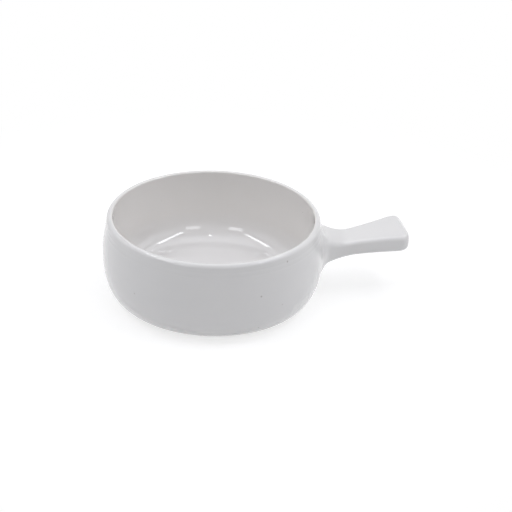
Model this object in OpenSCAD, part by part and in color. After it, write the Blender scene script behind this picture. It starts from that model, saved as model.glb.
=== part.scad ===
// White glazed stoneware soup bowl with one flared lug handle.
// The origin is on the bowl's axis, in the plane that the foot ring stands on.
// +Z is up and the handle points along +X. Lengths are in millimetres.

/* [Bowl] */
// Height of the bowl from the table to the top of the rim
bowl_h = 51.4; // [46:0.2:62]
// Widest outside diameter, at the belly
belly_d = 127.2; // [118:0.2:150]
// Height of the belly above the table
belly_z = 31.6; // [28:0.1:36]
// How far the mouth's edge stands in from the belly, on each side
mouth_inset = 5.6; // [3.6:0.1:10]
// Rounding of the rim on the outside
rim_out_r = 2.5; // [1.8:0.1:4]
// Rounding of the rim on the inside
rim_in_r = 0.9; // [0.7:0.1:1.5]
// Lean of the wall towards the axis where it meets the rim, in degrees
rim_lean = 7; // [0:1:15]
// Thickness of the wall at the belly
wall_t = 4.6; // [3.5:0.1:6.5]
// Thickness of the floor
floor_t = 5; // [3.5:0.1:8]
// Radius of the curve between the inside wall and the floor
floor_curve_r = 15; // [8:0.5:18]

/* [Underside] */
// How far the foot ring stands in from the belly, on each side
foot_inset = 14.1; // [11:0.1:19]
// Width of the face that the foot ring stands on
foot_w = 4.2; // [2.5:0.1:7]
// Height of the bare clay on the outside of the foot ring
foot_h = 0.8; // [0.5:0.1:2]
// Depth of the recess inside the foot ring
recess_h = 2; // [1:0.1:3]
// Width of the slope between the foot ring and its recess
recess_slope_w = 1.6; // [0.5:0.1:3]
// Rounding of the foot ring's outer edge
foot_edge_r = 0.4; // [0.2:0.05:0.45]
// Slope of the underside where it leaves the foot ring, in degrees
underside_slope = 13.5; // [5:0.5:30]
// Reach of the underside before it turns up into the wall
underside_reach = 11.8; // [6:0.1:14]
// Drop of the wall below the belly before it turns in
wall_drop = 15; // [8:0.5:20]

/* [Handle] */
// Length of the handle, from the belly to its tip
handle_l = 50.7; // [36:0.1:72]
// Height of the handle's middle line where it meets the wall
handle_z = 26; // [23:0.1:29]
// Rise of the handle towards its tip, in degrees
handle_rise = 6.8; // [0:0.1:12]
// Distance from the wall to the handle's narrowest place
neck_reach = 17.8; // [12:0.1:22]
// Width at the narrowest place
neck_w = 18.7; // [15:0.1:24]
// Width that the flare reaches at the tip, before its corners are rounded
tip_w = 32.9; // [26:0.1:40]
// Thickness at the narrowest place
neck_t = 8.5; // [7:0.1:12]
// Thickness at the tip
tip_t = 9.2; // [7:0.1:12]
// Rounding of the handle's long edges
edge_r = 2.2; // [1.5:0.1:3.4]
// Rounding of the tip's end, seen from the side
end_r = 3.2; // [1.5:0.1:3.4]
// Length over which the tip's corners are rounded, seen from above
corner_l = 8.5; // [4.5:0.1:12]
// Width that each rounded corner takes off the tip
corner_w = 9.5; // [4:0.1:12]
// How much wider each side is where the handle meets the wall
root_side = 5.5; // [2:0.1:8]
// How much higher the top is where the handle meets the wall
root_top = 7.7; // [3:0.1:12]
// How much lower the underside is where the handle meets the wall
root_bottom = 1.4; // [0.8:0.1:6]
// Rounding of the root's corners where they meet the wall
root_corner_r = 4.5; // [3.4:0.1:5.6]

/* [Coats] */
// Thickness of the glaze
glaze_t = 0.3; // [0.2:0.05:0.5]
// Thickness of the slip that the handle is stuck on with
slip_t = 0.4; // [0.3:0.05:0.7]

/* [Hidden] */
$fn = 96;

// How far a cut runs past the solid that it cuts
overrun = 1;
// Steps along each free curve, round each side of the rim and round the floor's curve
curve_steps = 16;
rim_steps = 8;
floor_steps = 12;
// Steps of the handle: along its root, middle and tip, round a corner, along a side, across its root face
root_steps = 14;
middle_steps = 8;
tip_steps = 9;
corner_steps = 6;
side_steps = 6;
face_steps = 10;
// Powers that shape the root's flare, the widening towards the tip, the tip's corners and a round edge
flare_power = 2;
widening_power = 1.35;
corner_power = 2.3;
round_power = 2;
// Share of its length that each handle of a free curve takes on the upper wall
upper_pull_share = 0.33;

belly_r = belly_d / 2;
mouth_r = belly_r - mouth_inset;
foot_r = belly_r - foot_inset;
handle_reach = belly_r + handle_l;
crown_r = mouth_r + rim_in_r;
rim_out_c = [crown_r, bowl_h - rim_out_r];
rim_in_c = [crown_r, bowl_h - rim_in_r];
inner_r = belly_r - wall_t;
floor_z = recess_h + floor_t;
floor_c = [inner_r - floor_curve_r, floor_z + floor_curve_r];
recess_r = foot_r - foot_w - recess_slope_w;

// Corner points of the free curves, as radius and height
shoulder = [foot_r, foot_h];
belly = [belly_r, belly_z];
rim_start = rim_out_c + rim_out_r * [cos(rim_lean), sin(rim_lean)];
upper_pull = upper_pull_share * (rim_start.y - belly_z);
mouth_start = [mouth_r, rim_in_c.y];
inner_belly = [inner_r, belly_z];
inner_pull = upper_pull_share * (mouth_start.y - belly_z);

// A point on a cubic curve, and the curve's direction there
function curve_point(p, t) =
    pow(1 - t, 3) * p[0] + 3 * pow(1 - t, 2) * t * p[1]
    + 3 * (1 - t) * pow(t, 2) * p[2] + pow(t, 3) * p[3];
function curve_way(p, t) =
    pow(1 - t, 2) * (p[1] - p[0]) + 2 * (1 - t) * t * (p[2] - p[1]) + pow(t, 2) * (p[3] - p[2]);
// The direction that points out of the clay, for a line with the clay on its left
function out_of_clay(way) = [way.y, -way.x] / norm(way);
// A curve's points at a depth under the glazed surface
function curve_line(p, depth, first) = [
    for (i = [first:curve_steps])
        let (t = i / curve_steps)
        curve_point(p, t) - depth * out_of_clay(curve_way(p, t))
];
function arc_line(centre, r, from, to, steps) = [
    for (i = [1:steps])
        let (a = from + (to - from) * i / steps)
        centre + r * [cos(a), sin(a)]
];

lower_wall = [
    shoulder,
    shoulder + underside_reach * [cos(underside_slope), sin(underside_slope)],
    belly - [0, wall_drop],
    belly
];
upper_wall = [
    belly,
    belly + [0, upper_pull],
    rim_start + upper_pull * [sin(rim_lean), -cos(rim_lean)],
    rim_start
];
inner_wall = [
    mouth_start,
    mouth_start - [0, inner_pull],
    inner_belly + [0, inner_pull],
    inner_belly
];

// The outside from the foot ring's shoulder to the crown of the rim, at a depth under the glaze
function outside_line(depth) = concat(
    curve_line(lower_wall, depth, 0),
    curve_line(upper_wall, depth, 1),
    arc_line(rim_out_c, rim_out_r - depth, rim_lean, 90, rim_steps)
);
// The inside from just past the crown to the middle of the floor, at a depth under the glaze
function inside_line(depth) = concat(
    arc_line(rim_in_c, rim_in_r - depth, 90, 180, rim_steps),
    curve_line(inner_wall, depth, 1),
    [[inner_r + depth, floor_c.y]],
    arc_line(floor_c, floor_curve_r + depth, 0, -90, floor_steps),
    [[0, floor_z - depth]]
);
function crown(depth) = [[crown_r, bowl_h - depth]];
function reversed(line) = [for (i = [len(line) - 1:-1:0]) line[i]];

// Radius of the slip's outer face at a height, which the handle's root lies on
slip_line = outside_line(glaze_t - slip_t);
slip_table = [for (p = slip_line) [p.y, p.x]];
function slip_x(y, z) = sqrt(pow(lookup(z, slip_table), 2) - pow(y, 2));
root_x = slip_x(0, handle_z);
neck_x = root_x + neck_reach;

// Nearness to the wall, 1 at the root and 0 from the neck on, and the share of the way from neck to tip
function near_wall(x) = max(0, (neck_x - x) / neck_reach);
function near_tip(x) = max(0, (x - neck_x) / (handle_reach - neck_x));
function flare(x) = pow(near_wall(x), flare_power);
// Share of a corner's rounding that is left at the end of a stretch
function rounding(x, length, power) =
    let (t = min(1, max(0, (x - handle_reach + length) / length)))
    1 - pow(1 - pow(t, power), 1 / power);
function half_width(x) =
    (neck_w + (tip_w - neck_w) * pow(near_tip(x), widening_power)) / 2
    + root_side * flare(x) - corner_w * rounding(x, corner_l, corner_power);
function half_height(x) =
    (neck_t + (tip_t - neck_t) * near_tip(x)) / 2 - end_r * rounding(x, end_r, round_power);
function middle_z(x) = handle_z + (x - root_x) * tan(handle_rise);

// One quarter of a section: an arc round its corner, then the straight run towards the next corner
function quarter(corner, r, from, next) = concat(
    [
        for (i = [0:corner_steps])
            let (a = from + 90 * i / corner_steps)
            corner + r * [cos(a), sin(a)]
    ],
    [for (i = [1:side_steps - 1]) corner + r * [cos(from + 90), sin(from + 90)] + next * i / side_steps]
);
// The handle's section at a distance from the axis, as places across and up, grown on all sides
function section(x, grow) =
    let (
        w = half_width(x),
        up = half_height(x) + root_top * flare(x),
        down = half_height(x) + root_bottom * flare(x),
        r = min(edge_r + (root_corner_r - edge_r) * flare(x), w, down),
        z = middle_z(x),
        across = 2 * (w - r),
        tall = up + down - 2 * r,
        g = r + grow
    )
    concat(
        quarter([w - r, z + up - r], g, 0, [-across, 0]),
        quarter([r - w, z + up - r], g, 90, [0, -tall]),
        quarter([r - w, z + r - down], g, 180, [across, 0]),
        quarter([w - r, z + r - down], g, 270, [0, tall])
    );
// The section in space: it follows the wall at the root and is flat from the neck on
function ring(x, grow) =
    let (shift = grow * (1 - near_wall(x)))
    [
        for (p = section(x, grow))
            [x + shift + near_wall(x) * (slip_x(p.x, p.y) - root_x), p.x, p.y]
    ];
stations = concat(
    [for (i = [0:root_steps - 1]) root_x + neck_reach * i / root_steps],
    [for (i = [0:middle_steps - 1]) neck_x + (handle_reach - corner_l - neck_x) * i / middle_steps],
    [for (i = [0:tip_steps]) handle_reach - corner_l * (1 - sin(90 * i / tip_steps))]
);
// Smaller and smaller copies of the root's outline, all lying on the slip
root_outline = section(root_x, 0);
function root_face(share) = [
    for (p = root_outline)
        let (y = p.x * share, z = handle_z + (p.y - handle_z) * share)
        [slip_x(y, z), y, z]
];
ring_n = len(root_outline);

// Triangles between one ring of points and the next, seen from outside
function band(a, b) = [
    for (i = [0:ring_n - 1])
        let (j = (i + 1) % ring_n)
        each [[a + i, b + i, b + j], [a + i, b + j, a + j]]
];
function bands(start, n) = [for (k = [0:n - 2]) each band(start + k * ring_n, start + (k + 1) * ring_n)];
function flipped(faces) = [for (f = faces) [f[2], f[1], f[0]]];
function fan(start, centre) = [for (i = [0:ring_n - 1]) [start + i, centre, start + (i + 1) % ring_n]];
function tip_middle(grow) = [handle_reach + grow, 0, middle_z(handle_reach)];

// A prism from the bowl's axis out along +X, with the outline of the glazed root
module root_prism() {
    rotate([90, 0, 90])
        linear_extrude(height = belly_r + overrun)
            polygon(section(root_x, glaze_t));
}

// The clay of the bowl: wall, rim, floor and foot ring, turned as one
module bowl_body() {
    color("linen")
        rotate_extrude()
            polygon(concat(
                [
                    [0, recess_h],
                    [recess_r, recess_h],
                    [recess_r + recess_slope_w, 0],
                    [foot_r - foot_edge_r, 0],
                    [foot_r, foot_edge_r],
                    shoulder
                ],
                outside_line(glaze_t),
                inside_line(glaze_t)
            ));
}

// The lining of glaze, from the crown of the rim down and over the floor
module inside_glaze() {
    color("white")
        rotate_extrude()
            polygon(concat(crown(0), inside_line(0), reversed(inside_line(glaze_t)), crown(glaze_t)));
}

// The outer coat of glaze, open where the handle is stuck on
module outside_glaze() {
    color("white")
        difference() {
            rotate_extrude()
                polygon(concat(outside_line(0), reversed(outside_line(glaze_t))));
            root_prism();
        }
}

// The glaze in the recess under the floor, inside the bare foot ring
module base_glaze() {
    color("white")
        translate([0, 0, recess_h - glaze_t])
            cylinder(r = recess_r, h = glaze_t);
}

// The slip that joins the handle to the wall
module handle_slip() {
    color("antiquewhite")
        intersection() {
            rotate_extrude()
                polygon(concat(outside_line(glaze_t - slip_t), reversed(outside_line(glaze_t))));
            root_prism();
        }
}

// The clay of the handle, with its root face lying on the slip
module handle() {
    rings = [for (x = stations) each ring(x, 0)];
    faces_in = [for (k = [1:face_steps - 1]) each root_face(1 - k / face_steps)];
    n = len(stations);
    inner_start = n * ring_n;
    root_centre = (n + face_steps - 1) * ring_n;
    color("linen")
        polyhedron(
            points = concat(rings, faces_in, [[root_x, 0, handle_z]], [tip_middle(0)]),
            faces = concat(
                bands(0, n),
                fan((n - 1) * ring_n, root_centre + 1),
                flipped(band(0, inner_start)),
                flipped(bands(inner_start, face_steps - 1)),
                flipped(fan(root_centre - ring_n, root_centre))
            )
        );
}

// The glaze all over the handle
module handle_glaze() {
    n = len(stations);
    inner_start = n * ring_n;
    centre = 2 * n * ring_n;
    color("white")
        polyhedron(
            points = concat(
                [for (x = stations) each ring(x, glaze_t)],
                [for (x = stations) each ring(x, 0)],
                [tip_middle(glaze_t), tip_middle(0)]
            ),
            faces = concat(
                bands(0, n),
                fan((n - 1) * ring_n, centre),
                flipped(bands(inner_start, n)),
                flipped(fan(centre - ring_n, centre + 1)),
                flipped(band(0, inner_start))
            )
        );
}

bowl_body();
inside_glaze();
outside_glaze();
base_glaze();
handle_slip();
handle();
handle_glaze();
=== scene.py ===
# White stoneware soup bowl with a lug handle: its glaze, its bare clay and the studio round it.
import math

import bmesh
import bpy
import numpy as np
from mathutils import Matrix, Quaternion, Vector


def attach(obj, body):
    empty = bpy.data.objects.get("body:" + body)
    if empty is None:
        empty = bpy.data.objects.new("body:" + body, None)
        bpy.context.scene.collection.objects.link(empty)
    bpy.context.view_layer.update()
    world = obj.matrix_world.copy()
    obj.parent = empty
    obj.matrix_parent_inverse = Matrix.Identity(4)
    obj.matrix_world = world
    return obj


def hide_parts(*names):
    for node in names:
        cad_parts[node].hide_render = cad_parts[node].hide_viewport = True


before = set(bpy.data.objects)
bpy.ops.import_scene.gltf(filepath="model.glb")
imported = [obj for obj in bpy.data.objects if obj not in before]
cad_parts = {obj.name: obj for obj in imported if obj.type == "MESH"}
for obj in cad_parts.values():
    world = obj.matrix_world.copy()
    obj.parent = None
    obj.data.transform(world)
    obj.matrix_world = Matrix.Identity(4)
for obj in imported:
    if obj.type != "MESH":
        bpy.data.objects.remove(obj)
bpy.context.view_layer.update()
print("frame loaded:", ", ".join(sorted(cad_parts)))

mm = 0.001
mainScene = bpy.context.scene

# turn is how far the handle points away from the picture's right,
# and aim is a point on the camera's axis, as right, away and up
cameraView = {
    "distance": 1450 * mm,
    "elevation": 27.7,
    "turn": 13.25,
    "roll": 1.95,
    "aim": (24.98 * mm, -10.5 * mm, 31.84 * mm),
    "lens": 177.85,
    "sensor": 36.0,
}


def fromPhoto(right, away, up):
    # a place or a direction as the picture shows it, in the frame's own axes
    turn = math.radians(cameraView["turn"])
    return Vector((
        right * math.cos(turn) + away * math.sin(turn),
        away * math.cos(turn) - right * math.sin(turn),
        up,
    ))


def makeCamera():
    optics = bpy.data.cameras.new("photoCamera")
    optics.lens = cameraView["lens"]
    optics.sensor_width = cameraView["sensor"]
    camera = bpy.data.objects.new("photoCamera", optics)
    mainScene.collection.objects.link(camera)
    lift = math.radians(cameraView["elevation"])
    look = fromPhoto(0, math.cos(lift), -math.sin(lift))
    tilt = Quaternion((0, 0, 1), math.radians(cameraView["roll"]))
    camera.rotation_mode = "QUATERNION"
    camera.location = fromPhoto(*cameraView["aim"]) - look * cameraView["distance"]
    camera.rotation_quaternion = look.to_track_quat("-Z", "Y") @ tilt
    mainScene.camera = camera


makeCamera()
print("camera placed")


class Wire:
    # a value in a node tree: an operator on it adds the Math node

    def __init__(self, graph, socket):
        self.graph = graph
        self.socket = socket

    def __add__(self, other):
        return self.graph.maths("ADD", self, other)

    def __radd__(self, other):
        return self.graph.maths("ADD", other, self)

    def __sub__(self, other):
        return self.graph.maths("SUBTRACT", self, other)

    def __rsub__(self, other):
        return self.graph.maths("SUBTRACT", other, self)

    def __mul__(self, other):
        return self.graph.maths("MULTIPLY", self, other)

    def __rmul__(self, other):
        return self.graph.maths("MULTIPLY", other, self)

    def __truediv__(self, other):
        return self.graph.maths("DIVIDE", self, other)

    def __rtruediv__(self, other):
        return self.graph.maths("DIVIDE", other, self)

    def __mod__(self, other):
        return self.graph.maths("MODULO", self, other)

    def __rmod__(self, other):
        return self.graph.maths("MODULO", other, self)

    def __lt__(self, other):
        return self.graph.maths("LESS_THAN", self, other)

    def __gt__(self, other):  # also what a number < wire comes to
        return self.graph.maths("GREATER_THAN", self, other)


class Graph:
    # one node tree, which grows by one node for each call of add

    def __init__(self, tree):
        self.tree = tree

    def add(self, kind, settings=None, sockets=None, output=0):
        node = self.tree.nodes.new(kind)
        for name, value in (settings or {}).items():
            setattr(node, name, value)
        for name, value in (sockets or {}).items():
            if isinstance(value, Wire):
                self.tree.links.new(value.socket, node.inputs[name])
            else:
                node.inputs[name].default_value = value
        return Wire(self, node.outputs[output]) if node.outputs else None

    def maths(self, operation, *values):
        return self.add("ShaderNodeMath", {"operation": operation}, dict(enumerate(values)))

    def clamped(self, value, low=0.0, high=1.0):
        return self.maths("MINIMUM", self.maths("MAXIMUM", value, low), high)


class Finish(Graph):
    # a material of this bowl, with patterns that lie on Object coordinates

    def __init__(self, name):
        self.material = bpy.data.materials.new(name)
        self.material.use_nodes = True
        super().__init__(self.material.node_tree)
        self.tree.nodes.clear()

    def place(self):
        return self.add("ShaderNodeTexCoord", output="Object")

    def cloud(self, place, size, detail=2.0):
        # soft noise about zero, with patches of about that size
        sockets = {"Vector": place, "Scale": 1 / size, "Detail": detail}
        return self.add("ShaderNodeTexNoise", {}, sockets) - 0.5

    def stretched(self, place, scale):
        sockets = {"Vector": place, "Scale": scale}
        return self.add("ShaderNodeMapping", {"vector_type": "POINT"}, sockets)

    def disc(self, away, radius):
        # 1 in the inner half of the radius, fading to 0 at its end
        return self.clamped((radius - away) * (2 / radius))

    def dots(self, place, spacing, radius, share):
        # round specks in a random few of the cells
        sockets = {"Vector": place, "Scale": 1 / spacing}
        cells = self.add("ShaderNodeTexVoronoi", {"feature": "F1"}, sockets, output="Distance")
        colour = Wire(self, cells.socket.node.outputs["Color"])
        luck = self.add("ShaderNodeSeparateColor", {}, {"Color": colour}, output="Red")
        return self.disc(cells, radius / spacing) * (luck < share)

    def mixed(self, share, first, second):
        settings = {"data_type": "RGBA"}
        return self.add("ShaderNodeMix", settings, {0: share, 6: first, 7: second}, output=2)

    def spot(self, place, mark):
        # one soft round spot, given in millimetres
        centre, radius, strength = mark
        sockets = {0: place, 1: tuple(value * mm for value in centre)}
        away = self.add("ShaderNodeVectorMath", {"operation": "DISTANCE"}, sockets, "Value")
        return self.disc(away, radius * mm) * strength

    def relief(self, height):
        # a height in millimetres turned into a bumped normal
        return self.add("ShaderNodeBump", {}, {"Height": height, "Distance": mm}, output="Normal")

    def finished(self, sockets):
        shader = self.add("ShaderNodeBsdfPrincipled", {}, sockets)
        self.add("ShaderNodeOutputMaterial", {}, {"Surface": shader})
        return self.material


# The lining is warmer on the wall than on the floor, changing between two heights.
# Relief (waveHeight, peelHeight, ringDepth and speckDepth) and ringHeights are in millimetres.
glazeLook = {
    "thinTone": (0.800, 0.792, 0.784, 1),
    "pooledTone": (0.775, 0.770, 0.765, 1),
    "liningTone": (0.815, 0.795, 0.772, 1),
    "floorTone": (0.805, 0.797, 0.795, 1),
    "wallToneHeight": 24 * mm,
    "floorToneHeight": 9 * mm,
    "liningDrift": 0.5,
    "speckTone": (0.30, 0.25, 0.20, 1),
    "blobTone": (0.90, 0.89, 0.86, 1),
    "pooledShare": 0.45,
    "poolSize": 34 * mm,
    "poolWeight": 1.6,
    "bandSize": 7 * mm,
    "bandStretch": (0.12, 0.12, 1),
    "bandWeight": 0.9,
    "mottleSize": 1.6 * mm,
    "mottleWeight": 0.5,
    "speckSpacing": 7 * mm,
    "speckRadius": 0.34 * mm,
    "speckShare": 0.16,
    "speckStrength": 0.8,
    "speckDepth": 0.02,
    "roughness": 0.025,
    "poolRoughness": 0.02,
    "speckRoughness": 0.25,
    "refraction": 1.5,
    "coatWeight": 0.3,
    "coatRoughness": 0.02,
    "waveSize": 15 * mm,
    "waveHeight": 0.02,
    "peelSize": 1.1 * mm,
    "peelHeight": 0.0016,
    "ringHeights": (46.8, 44.0),
    "ringWidth": 1.0 * mm,
    "ringDepth": 0.10,
    "ringShare": 0.7,
    "ringChange": 3,
    "ringSize": 40 * mm,
    "ringReach": 62.6 * mm,
}

# single marks in the outer glaze, then one pale blob: place, radius and strength
glazeMarks = [
    ((31.3, -53.2, 46.9), 0.75, 0.45),
    ((15.0, -61.8, 30.7), 0.7, 0.45),
    ((28.7, -56.2, 21.4), 0.7, 0.2),
    ((-52.2, -36.0, 24.6), 0.7, 0.25),
]
paleBlob = ((38.1, -48.9, 15.3), 2.6, 0.3)


def makeGlaze(name, isLining=False):
    look = glazeLook
    finish = Finish(name)
    place = finish.place()
    pool = finish.cloud(place, look["poolSize"])
    bands = finish.cloud(finish.stretched(place, look["bandStretch"]), look["bandSize"])
    mottle = finish.cloud(place, look["mottleSize"], detail=3.0)
    specks = finish.dots(place, look["speckSpacing"], look["speckRadius"], look["speckShare"])
    share = finish.clamped(
        look["pooledShare"] + look["poolWeight"] * pool
        + look["bandWeight"] * bands + look["mottleWeight"] * mottle
    )
    tone = finish.mixed(share, look["thinTone"], look["pooledTone"])
    waves = finish.cloud(place, look["waveSize"], detail=1.0) * look["waveHeight"]
    peel = finish.cloud(place, look["peelSize"], detail=1.0) * look["peelHeight"]
    height = finish.add("ShaderNodeSeparateXYZ", {}, {0: place}, output="Z")
    if isLining:
        reach = look["wallToneHeight"] - look["floorToneHeight"]
        drift = look["liningDrift"] * pool
        wallShare = finish.clamped((height - look["floorToneHeight"]) / reach - drift)
        tone = finish.mixed(wallShare, look["floorTone"], look["liningTone"])
    else:
        tone = finish.mixed(finish.spot(place, paleBlob), tone, look["blobTone"])
        for mark in glazeMarks:
            tone = finish.mixed(finish.spot(place, mark), tone, look["speckTone"])
        # two faint throwing rings under the rim, fading in and out round the bowl
        change = look["ringChange"] * finish.cloud(place, look["ringSize"], detail=1.0)
        fade = finish.clamped(look["ringShare"] + change)
        flat = finish.stretched(place, (1, 1, 0))
        across = finish.add("ShaderNodeVectorMath", {"operation": "LENGTH"}, {0: flat}, "Value")
        fade = fade * (across < look["ringReach"])
        for ringHeight in look["ringHeights"]:
            off = finish.maths("ABSOLUTE", height - ringHeight * mm)
            groove = finish.clamped(1 - off / look["ringWidth"])
            waves = waves - groove * fade * look["ringDepth"]
    return finish.finished({
        "Base Color": finish.mixed(specks * look["speckStrength"], tone, look["speckTone"]),
        "Roughness": finish.clamped(
            look["roughness"] + look["poolRoughness"] * pool + look["speckRoughness"] * specks
        ),
        "IOR": look["refraction"],
        "Coat Weight": look["coatWeight"],
        "Coat Roughness": look["coatRoughness"],
        "Normal": finish.relief(waves + peel - look["speckDepth"] * specks),
    })


clayLook = {
    "tone": (0.66, 0.595, 0.50, 1),
    "paleTone": (0.78, 0.735, 0.665, 1),
    "speckTone": (0.20, 0.13, 0.08, 1),
    "paleShare": 0.5,
    "patchSize": 9 * mm,
    "patchWeight": 1.4,
    "grainSize": 0.45 * mm,
    "grainWeight": 1.2,
    "grainHeight": 0.03,
    "speckSpacing": 2.6 * mm,
    "speckRadius": 0.22 * mm,
    "speckShare": 0.3,
    "speckStrength": 0.85,
    "roughness": 0.82,
    "grainRoughness": 0.25,
    "shine": 0.3,
}


def makeClay():
    look = clayLook
    finish = Finish("bareClay")
    place = finish.place()
    patch = finish.cloud(place, look["patchSize"], detail=3.0)
    grain = finish.cloud(place, look["grainSize"], detail=3.0)
    specks = finish.dots(place, look["speckSpacing"], look["speckRadius"], look["speckShare"])
    share = finish.clamped(
        look["paleShare"] + look["patchWeight"] * patch + look["grainWeight"] * grain
    )
    tone = finish.mixed(share, look["tone"], look["paleTone"])
    return finish.finished({
        "Base Color": finish.mixed(specks * look["speckStrength"], tone, look["speckTone"]),
        "Roughness": finish.clamped(look["roughness"] + look["grainRoughness"] * grain),
        "Specular IOR Level": look["shine"],
        "Normal": finish.relief(grain * look["grainHeight"]),
    })


whiteGlaze = makeGlaze("whiteGlaze")
liningGlaze = makeGlaze("liningGlaze", isLining=True)
bareClay = makeClay()
print("finishes mixed")

# sizes of the bowl and its coats, as the CAD solids have them, in millimetres
bowlShape = {
    "height": 51.4,
    "bellyRadius": 63.6,
    "bellyHeight": 31.6,
    "mouthRadius": 58.0,
    "rimOutside": 2.5,
    "rimInside": 0.9,
    "rimLean": 7.0,
    "wall": 4.6,
    "floor": 5.0,
    "recess": 2.0,
    "floorCurve": 15.0,
    "footRadius": 49.5,
    "footHeight": 0.8,
    "undersideSlope": 13.5,
    "undersideReach": 11.8,
    "wallDrop": 15.0,
    "pullShare": 0.33,
    "glaze": 0.3,
    "slip": 0.4,
}

# Steps round the bowl and along its lines. A rim has a third of the steps of a curve, and the
# side of a coat that lies on the clay has half of the steps of the side that shows.
# The opening under the handle is cut from outside to inside the belly, in millimetres from it.
coatSettings = {
    "stepsRound": 240,
    "curveSteps": 36,
    "rimShare": 3,
    "hiddenShare": 2,
    "straightSteps": 6,
    "floorSteps": 12,
    "measureSteps": 96,
    "openingOutside": 1.0,
    "openingInside": 20.0,
}


def cubicLine(corners, depth, steps):
    # a free curve at a depth under the glazed surface
    t = np.linspace(0, 1, steps + 1)[:, None]
    a, b, c, d = (np.array(corner, float) for corner in corners)
    line = (1 - t) ** 3 * a + 3 * (1 - t) ** 2 * t * b + 3 * (1 - t) * t**2 * c + t**3 * d
    way = (1 - t) ** 2 * (b - a) + 2 * (1 - t) * t * (c - b) + t**2 * (d - c)
    outward = np.column_stack([way[:, 1], -way[:, 0]])
    return line - depth * outward / np.linalg.norm(way, axis=1)[:, None]


def arcLine(centre, radius, start, end, steps):
    angle = np.radians(np.linspace(start, end, steps + 1))
    return np.array(centre) + radius * np.column_stack([np.cos(angle), np.sin(angle)])


def outsideLine(depth, steps):
    # radius and height, from the foot ring's shoulder to the crown of the rim
    bowl = bowlShape
    lean = math.radians(bowl["rimLean"])
    slope = math.radians(bowl["undersideSlope"])
    belly = np.array([bowl["bellyRadius"], bowl["bellyHeight"]])
    shoulder = np.array([bowl["footRadius"], bowl["footHeight"]])
    centre = np.array([
        bowl["mouthRadius"] + bowl["rimInside"], bowl["height"] - bowl["rimOutside"]
    ])
    rim = centre + bowl["rimOutside"] * np.array([math.cos(lean), math.sin(lean)])
    pull = bowl["pullShare"] * (rim[1] - belly[1])
    reach = bowl["undersideReach"] * np.array([math.cos(slope), math.sin(slope)])
    lower = [shoulder, shoulder + reach, belly - [0, bowl["wallDrop"]], belly]
    upper = [
        belly, belly + [0, pull], rim + pull * np.array([math.sin(lean), -math.cos(lean)]), rim
    ]
    rimSteps = steps // coatSettings["rimShare"]
    crown = arcLine(centre, bowl["rimOutside"] - depth, bowl["rimLean"], 90, rimSteps)
    return np.vstack([
        cubicLine(lower, depth, steps), cubicLine(upper, depth, steps)[1:], crown[1:]
    ])


def insideLine(depth, steps):
    # radius and height, from the crown of the rim to the middle of the floor
    bowl = bowlShape
    mouth = bowl["mouthRadius"]
    centre = [mouth + bowl["rimInside"], bowl["height"] - bowl["rimInside"]]
    innerRadius = bowl["bellyRadius"] - bowl["wall"]
    floorTop = bowl["recess"] + bowl["floor"]
    pull = bowl["pullShare"] * (centre[1] - bowl["bellyHeight"])
    wall = [
        [mouth, centre[1]],
        [mouth, centre[1] - pull],
        [innerRadius, bowl["bellyHeight"] + pull],
        [innerRadius, bowl["bellyHeight"]],
    ]
    curve = bowl["floorCurve"]
    straightPoints = coatSettings["straightSteps"] + 1
    straight = np.linspace(bowl["bellyHeight"], floorTop + curve, straightPoints)[1:-1]
    corner = arcLine([innerRadius - curve, floorTop + curve], curve + depth, 0, -90, steps)
    flat = np.linspace(innerRadius - curve, 0, coatSettings["floorSteps"] + 1)[1:]
    rimSteps = steps // coatSettings["rimShare"]
    return np.vstack([
        arcLine(centre, bowl["rimInside"] - depth, 90, 180, rimSteps),
        cubicLine(wall, depth, steps)[1:],
        np.column_stack([np.full(len(straight), innerRadius + depth), straight]),
        corner,
        np.column_stack([flat, np.full(len(flat), floorTop - depth)]),
    ])


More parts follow.
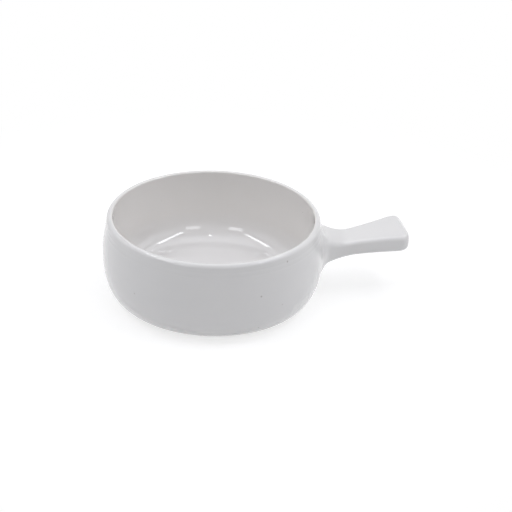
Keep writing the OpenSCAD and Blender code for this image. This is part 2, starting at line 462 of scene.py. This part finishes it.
def makeLatheTree():
    # turns a closed profile round the Z axis: x is the radius and z the height
    tree = bpy.data.node_groups.new("latheTurning", "GeometryNodeTree")
    for name, kind in (
        ("Profile", "NodeSocketGeometry"),
        ("Steps Round", "NodeSocketInt"),
        ("Merge Distance", "NodeSocketFloat"),
        ("Finish", "NodeSocketMaterial"),
    ):
        tree.interface.new_socket(name, in_out="INPUT", socket_type=kind)
    tree.interface.new_socket("Turned", in_out="OUTPUT", socket_type="NodeSocketGeometry")
    graph = Graph(tree)
    profile = graph.add("NodeGroupInput", output="Profile")
    stepsRound = Wire(graph, profile.socket.node.outputs["Steps Round"])
    mergeDistance = Wire(graph, profile.socket.node.outputs["Merge Distance"])
    coat = Wire(graph, profile.socket.node.outputs["Finish"])
    count = graph.add(
        "GeometryNodeAttributeDomainSize", {"component": "MESH"}, {"Geometry": profile},
        output="Point Count",
    )
    rows = count + 1
    grid = graph.add(
        "GeometryNodeMeshGrid", {}, {"Vertices X": stepsRound + 1, "Vertices Y": rows},
        output="Mesh",
    )
    index = graph.add("GeometryNodeInputIndex")
    column = graph.maths("FLOOR", index / rows)
    place = graph.add("GeometryNodeInputPosition")
    point = graph.add(
        "GeometryNodeSampleIndex", {"data_type": "FLOAT_VECTOR", "domain": "POINT"},
        {"Geometry": profile, "Value": place, "Index": index % rows % count},
    )
    radius = graph.add("ShaderNodeSeparateXYZ", {}, {0: point}, output="X")
    height = Wire(graph, radius.socket.node.outputs["Z"])
    angle = column / stepsRound * math.tau
    turned = graph.add("ShaderNodeCombineXYZ", {}, {
        "X": radius * graph.maths("COSINE", angle),
        "Y": radius * graph.maths("SINE", angle),
        "Z": height,
    })
    shell = graph.add("GeometryNodeSetPosition", {}, {"Geometry": grid, "Position": turned})
    shell = graph.add(
        "GeometryNodeMergeByDistance", {}, {"Geometry": shell, "Distance": mergeDistance}
    )
    shell = graph.add("GeometryNodeSetShadeSmooth", {}, {"Geometry": shell})
    shell = graph.add("GeometryNodeRealizeInstances", {}, {"Geometry": shell})
    shell = graph.add("GeometryNodeSetMaterial", {}, {"Geometry": shell, "Material": coat})
    graph.add("NodeGroupOutput", {}, {"Turned": shell})
    return tree


def setInput(modifier, name, value):
    sockets = modifier.node_group.interface.items_tree
    modifier[next(item.identifier for item in sockets if item.name == name)] = value


def makeMesh(name, points, edges=(), faces=()):
    mesh = bpy.data.meshes.new(name)
    mesh.from_pydata([tuple(point) for point in points], edges, faces)
    piece = bpy.data.objects.new(name, mesh)
    mainScene.collection.objects.link(piece)
    return piece


def settle(piece):
    # the evaluated shape becomes the piece's own plain mesh
    graph = bpy.context.evaluated_depsgraph_get()
    made = bpy.data.meshes.new_from_object(piece.evaluated_get(graph))
    made.name = piece.name
    piece.modifiers.clear()
    piece.data = made


mergeDistance = 0.001 * mm


def tidyMesh(piece, sharpAngle=40):
    # doubles merged, faces outward, sharp only where the surface folds
    work = bmesh.new()
    work.from_mesh(piece.data)
    bmesh.ops.remove_doubles(work, verts=work.verts, dist=mergeDistance)
    loose = [edge for edge in work.edges if not edge.link_faces]
    bmesh.ops.delete(work, geom=loose, context="EDGES")
    bmesh.ops.recalc_face_normals(work, faces=work.faces)
    openEdges = sum(1 for edge in work.edges if len(edge.link_faces) != 2)
    work.to_mesh(piece.data)
    work.free()
    piece.data.shade_smooth()
    piece.data.set_sharp_from_angle(angle=math.radians(sharpAngle))
    print(piece.name, "faces:", len(piece.data.polygons), "open edges:", openEdges)


def guideNormals(piece, chosen):
    # chosen gives a vertex its exact normal, or None to leave it to the faces round it
    normals = [chosen(vertex.co) or (0, 0, 0) for vertex in piece.data.vertices]
    piece.data.normals_split_custom_set_from_vertices(normals)


latheTree = makeLatheTree()


def turnCoat(name, coatLine, glaze):
    # a closed thin shell of glaze, turned from its two sides in millimetres
    steps = coatSettings["curveSteps"]
    shown = coatLine(0, steps)
    hidden = coatLine(bowlShape["glaze"], steps // coatSettings["hiddenShare"])
    profile = np.vstack([shown, hidden[::-1]])
    points = [(radius * mm, 0, height * mm) for radius, height in profile]
    ends = [(i, (i + 1) % len(points)) for i in range(len(points))]
    coat = makeMesh(name, points, edges=ends)
    turning = coat.modifiers.new("turning", "NODES")
    turning.node_group = latheTree
    setInput(turning, "Steps Round", coatSettings["stepsRound"])
    setInput(turning, "Merge Distance", mergeDistance)
    setInput(turning, "Finish", glaze)
    return coat


def atCrown(place):
    # the two coats meet on the crown of the rim, where the surface is level
    return (0, 0, 1) if place.z > bowlShape["height"] * mm - mergeDistance else None


def makeInsideGlaze():
    coat = turnCoat("insideGlaze", insideLine, liningGlaze)
    settle(coat)
    tidyMesh(coat)
    guideNormals(coat, atCrown)
    return coat


insideGlaze = makeInsideGlaze()

# the handle's own sizes, in millimetres, and the steps of its skin of glaze
handleShape = {
    "reach": 114.3,
    "height": 26,
    "rise": 6.8,
    "neckReach": 17.8,
    "neckWidth": 18.7,
    "tipWidth": 32.9,
    "neckThickness": 8.5,
    "tipThickness": 9.2,
    "edge": 2.2,
    "end": 3.2,
    "cornerLength": 8.5,
    "cornerWidth": 9.5,
    "rootSide": 5.5,
    "rootTop": 7.7,
    "rootBottom": 1.4,
    "rootCorner": 4.5,
    "flarePower": 2.0,
    "wideningPower": 1.35,
    "cornerPower": 2.3,
    "roundPower": 2.0,
    "filletOut": 4.2,
    "filletSpread": 8.0,
    "sunk": 0.006,
    "cornerSteps": 12,
    "sideSteps": 8,
    "filletSteps": 18,
    "rootSteps": 26,
    "middleSteps": 18,
    "tipSteps": 30,
}


def wallRadius(depth):
    # gives the wall's radius at a height, at a depth under the glazed surface
    line = outsideLine(depth, coatSettings["measureSteps"])
    return lambda height: np.interp(height, line[:, 1], line[:, 0])


slipRadius = wallRadius(bowlShape["glaze"] - bowlShape["slip"])
rootX = float(slipRadius(handleShape["height"]))
neckX = rootX + handleShape["neckReach"]


def nearWall(x):
    return max(0.0, (neckX - x) / handleShape["neckReach"])


def rounding(x, length, power):
    t = min(1.0, max(0.0, (x - handleShape["reach"] + length) / length))
    return 1 - (1 - t**power) ** (1 / power)


def sectionSizes(x):
    # half width, reach up, reach down, corner radius and middle height of the handle at x
    handle = handleShape
    nearTip = max(0.0, (x - neckX) / (handle["reach"] - neckX))
    flare = nearWall(x) ** handle["flarePower"]
    width = handle["neckWidth"]
    width += (handle["tipWidth"] - width) * nearTip ** handle["wideningPower"]
    thick = handle["neckThickness"]
    thick += (handle["tipThickness"] - thick) * nearTip
    half = width / 2 + handle["rootSide"] * flare
    half -= handle["cornerWidth"] * rounding(x, handle["cornerLength"], handle["cornerPower"])
    tall = thick / 2 - handle["end"] * rounding(x, handle["end"], handle["roundPower"])
    up = tall + handle["rootTop"] * flare
    down = tall + handle["rootBottom"] * flare
    edge = handle["edge"]
    corner = min(edge + (handle["rootCorner"] - edge) * flare, half, down)
    middle = handle["height"] + (x - rootX) * math.tan(math.radians(handle["rise"]))
    return half, up, down, corner, middle


def sectionOutline(x, grow):
    # places across and up round the handle's section, grown on all sides
    half, up, down, corner, middle = sectionSizes(x)
    handle = handleShape
    sideways, upper, lower = half - corner, middle + up - corner, middle - down + corner
    centres = [(sideways, upper), (-sideways, upper), (-sideways, lower), (sideways, lower)]
    outline = []
    for number, (across, height) in enumerate(centres):
        start = 90 * number
        arc = arcLine([across, height], corner + grow, start, start + 90, handle["cornerSteps"])
        step = np.array(centres[(number + 1) % len(centres)]) - [across, height]
        run = [arc[-1] + step * i / handle["sideSteps"] for i in range(1, handle["sideSteps"])]
        outline += [*arc, *run]
    return np.array(outline)


def handleRing(x, grow, spread, radiusAt):
    # the outline in space: it follows the wall at the root and is flat from the neck on
    outline = sectionOutline(x, grow + spread)
    wall = np.sqrt(radiusAt(outline[:, 1]) ** 2 - outline[:, 0] ** 2)
    along = x + grow * (1 - nearWall(x)) + nearWall(x) * (wall - rootX)
    return np.column_stack([along, outline])


def handleStations():
    # places along the handle, from its fillet to its end, closer together towards the end
    handle = handleShape
    tipStart = handle["reach"] - handle["cornerLength"]
    rootEnd = rootX + handle["filletOut"]
    root = np.linspace(rootEnd, neckX, handle["rootSteps"], endpoint=False)
    middle = np.linspace(neckX, tipStart, handle["middleSteps"], endpoint=False)
    turn = np.linspace(0, math.pi / 2, handle["tipSteps"] + 1)
    tip = handle["reach"] - handle["cornerLength"] * (1 - np.sin(turn))
    return [*root, *middle, *tip]


def loftFaces(ringCount, ringSize):
    faces = []
    for k in range(ringCount - 1):
        for i in range(ringSize):
            j = (i + 1) % ringSize
            a, b = k * ringSize, (k + 1) * ringSize
            faces.append((a + i, b + i, b + j, a + j))
    return faces


def makeHandleGlaze():
    # a closed skin: in along the clay from the tip, over the wall, and out along the glaze
    handle = handleShape
    thick = bowlShape["glaze"]
    stations = handleStations()
    seat = wallRadius(handle["sunk"])
    rings = [handleRing(x, 0, 0, slipRadius) for x in [*reversed(stations), rootX]]
    for i in range(handle["filletSteps"]):
        angle = math.radians(90 * i / handle["filletSteps"])
        out = handle["filletOut"] * (1 - math.cos(angle))
        spread = handle["filletSpread"] * (1 - math.sin(angle))
        rings.append(handleRing(rootX + out, thick, spread, seat))
    rings += [handleRing(x, thick, 0, seat) for x in stations]
    size = len(rings[0])
    *_, tipHeight = sectionSizes(handle["reach"])
    ends = [(handle["reach"], 0, tipHeight), (handle["reach"] + thick, 0, tipHeight)]
    points = np.vstack([*rings, ends]) * mm
    faces = loftFaces(len(rings), size)
    inner = len(rings) * size
    last = inner - size
    for i in range(size):
        j = (i + 1) % size
        faces.append((inner, i, j))
        faces.append((inner + 1, last + j, last + i))
    skin = makeMesh("handleGlaze", points, faces=faces)
    skin.data.materials.append(whiteGlaze)
    tidyMesh(skin)
    line = outsideLine(0, coatSettings["measureSteps"])
    slopes = np.gradient(line[:, 0], line[:, 1])

    def atWall(place):
        # the skin's edge runs on as the wall does
        x, y, z = place / mm
        across = math.hypot(x, y)
        if abs(across - seat(z)) > handle["sunk"]:
            return None
        slope = np.interp(z, line[:, 1], slopes)
        return tuple(Vector((x / across, y / across, -slope)).normalized())

    guideNormals(skin, atWall)
    return skin


handleGlaze = makeHandleGlaze()


def makeOutsideGlaze():
    # the outer coat, with the opening that the handle's root fills
    coat = turnCoat("outsideGlaze", outsideLine, whiteGlaze)
    root = sectionOutline(rootX, bowlShape["glaze"]) * mm
    far = (bowlShape["bellyRadius"] + coatSettings["openingOutside"]) * mm
    near = (bowlShape["bellyRadius"] - coatSettings["openingInside"]) * mm
    size = len(root)
    points = [(x, y, z) for x in (near, far) for y, z in root]
    faces = [*loftFaces(2, size), tuple(range(size)), tuple(range(2 * size - 1, size - 1, -1))]
    punch = makeMesh("rootPunch", points, faces=faces)
    tidyMesh(punch)
    opening = coat.modifiers.new("opening", "BOOLEAN")
    opening.operation = "DIFFERENCE"
    opening.solver = "EXACT"
    opening.object = punch
    settle(coat)
    bpy.data.objects.remove(punch)
    tidyMesh(coat)
    guideNormals(coat, atCrown)
    return coat


outsideGlaze = makeOutsideGlaze()
print("glaze coats turned")

for piece, node in (
    (insideGlaze, "inside_glaze"),
    (outsideGlaze, "outside_glaze"),
    (handleGlaze, "handle_glaze"),
):
    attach(piece, "root")
    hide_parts(node)

for node, material in (
    ("bowl_body", bareClay),
    ("handle", bareClay),
    ("handle_slip", bareClay),
    ("base_glaze", whiteGlaze),
):
    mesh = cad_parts[node].data
    mesh.materials.clear()
    mesh.materials.append(material)
print("finishes laid on the clay")

# The studio: a pale table, a long lamp over each side, two square lamps in front and a small
# one high up, and soft walls and a soft ceiling. Places are right, away and up, in metres.
studio = {
    "floorRadius": 4.0,
    "floorLevel": -0.05 * mm,
    "floorEdges": 64,
    "tableTone": (0.92, 0.92, 0.92, 1),
    "shownTone": (0.42, 0.42, 0.42, 1),
    "shownGlow": 0.70,
    "shadowReach": 0.10,
    "shadowFade": 0.16,
    "lampTone": (0.963, 0.968, 1.0),
}

# each lamp's place, the point that it faces, its size and its power in watts
lamps = {
    "leftBar": ((-0.335, -0.115, 0.49), (0, -0.115, 0.02), (0.42, 0.055), 0.55),
    "rightBar": ((0.335, -0.115, 0.49), (0, -0.115, 0.02), (0.42, 0.055), 0.6),
    "leftFrontBar": ((-0.305, -0.60, 0.42), (0, 0.055, 0.015), (0.2, 0.2), 0.48),
    "rightFrontBar": ((0.305, -0.60, 0.42), (0, 0.055, 0.015), (0.2, 0.2), 0.42),
    "topSpot": ((0.033, -0.231, 0.765), (0, 0.05, 0.01), (0.03, 0.05), 0.11),
    "ceiling": ((0, 0.3, 1.0), (0, 0.3, 0), (1.7, 1.2), 7.78),
    "leftWall": ((-0.70, 0.10, 0.36), (0, 0.10, 0.05), (1.1, 0.5), 1.0),
    "rightWall": ((0.70, 0.10, 0.36), (0, 0.10, 0.05), (1.1, 0.5), 1.43),
    "backWall": ((0, 1.0, 0.45), (0, 0, 0.05), (1.3, 0.7), 0.368),
}


def seenByEye(graph):
    # 1 for the rays that show a background: camera, mirror and see-through rays
    path = graph.add("ShaderNodeLightPath", output="Is Camera Ray")
    glossy = Wire(graph, path.socket.node.outputs["Is Glossy Ray"])
    through = Wire(graph, path.socket.node.outputs["Is Transmission Ray"])
    return graph.maths("MAXIMUM", graph.maths("MAXIMUM", path, glossy), through)


def makeFloor():
    finish = Finish("paleTable")
    seen = seenByEye(finish)
    # near the bowl the table shows its shadow, and further off it is plain white
    place = finish.place()
    away = finish.add("ShaderNodeVectorMath", {"operation": "LENGTH"}, {0: place}, "Value")
    far = finish.clamped((away - studio["shadowReach"]) / studio["shadowFade"])
    shown = finish.mixed(far, studio["shownTone"], (0, 0, 0, 1))
    glow = studio["shownGlow"] + far * (1 - studio["shownGlow"])
    tone = finish.mixed(seen, studio["tableTone"], shown)
    lit = finish.add("ShaderNodeBsdfDiffuse", {}, {"Color": tone})
    shine = finish.add("ShaderNodeEmission", {}, {"Strength": seen * glow})
    both = finish.add("ShaderNodeAddShader", {}, {0: lit, 1: shine})
    finish.add("ShaderNodeOutputMaterial", {}, {"Surface": both})
    edges = studio["floorEdges"]
    radius = studio["floorRadius"]
    turns = [math.tau * i / edges for i in range(edges)]
    points = [(radius * math.cos(a), radius * math.sin(a), studio["floorLevel"]) for a in turns]
    floor = makeMesh("studioFloor", points, faces=[tuple(range(edges))])
    floor.data.materials.append(finish.material)


def makeWorld():
    # white to the eye and in reflections, and no light on the bowl
    world = bpy.data.worlds.new("studioAir")
    world.use_nodes = True
    world.node_tree.nodes.clear()
    graph = Graph(world.node_tree)
    sockets = {"Color": (1, 1, 1, 1), "Strength": seenByEye(graph)}
    air = graph.add("ShaderNodeBackground", {}, sockets)
    graph.add("ShaderNodeOutputWorld", {}, {"Surface": air})
    mainScene.world = world


def makeLamps():
    for name, (at, to, size, power) in lamps.items():
        lamp = bpy.data.lights.new(name, "AREA")
        lamp.shape = "RECTANGLE"
        lamp.size, lamp.size_y = size  # the first is level
        lamp.energy = power
        lamp.color = studio["lampTone"]
        holder = bpy.data.objects.new(name, lamp)
        mainScene.collection.objects.link(holder)
        holder.location = fromPhoto(*at)
        look = (fromPhoto(*to) - holder.location).normalized()
        holder.rotation_mode = "QUATERNION"
        holder.rotation_quaternion = look.to_track_quat("-Z", "Y")
        holder.visible_camera = False


makeFloor()
makeWorld()
makeLamps()
mainScene.view_settings.view_transform = "Standard"
print("studio lit")
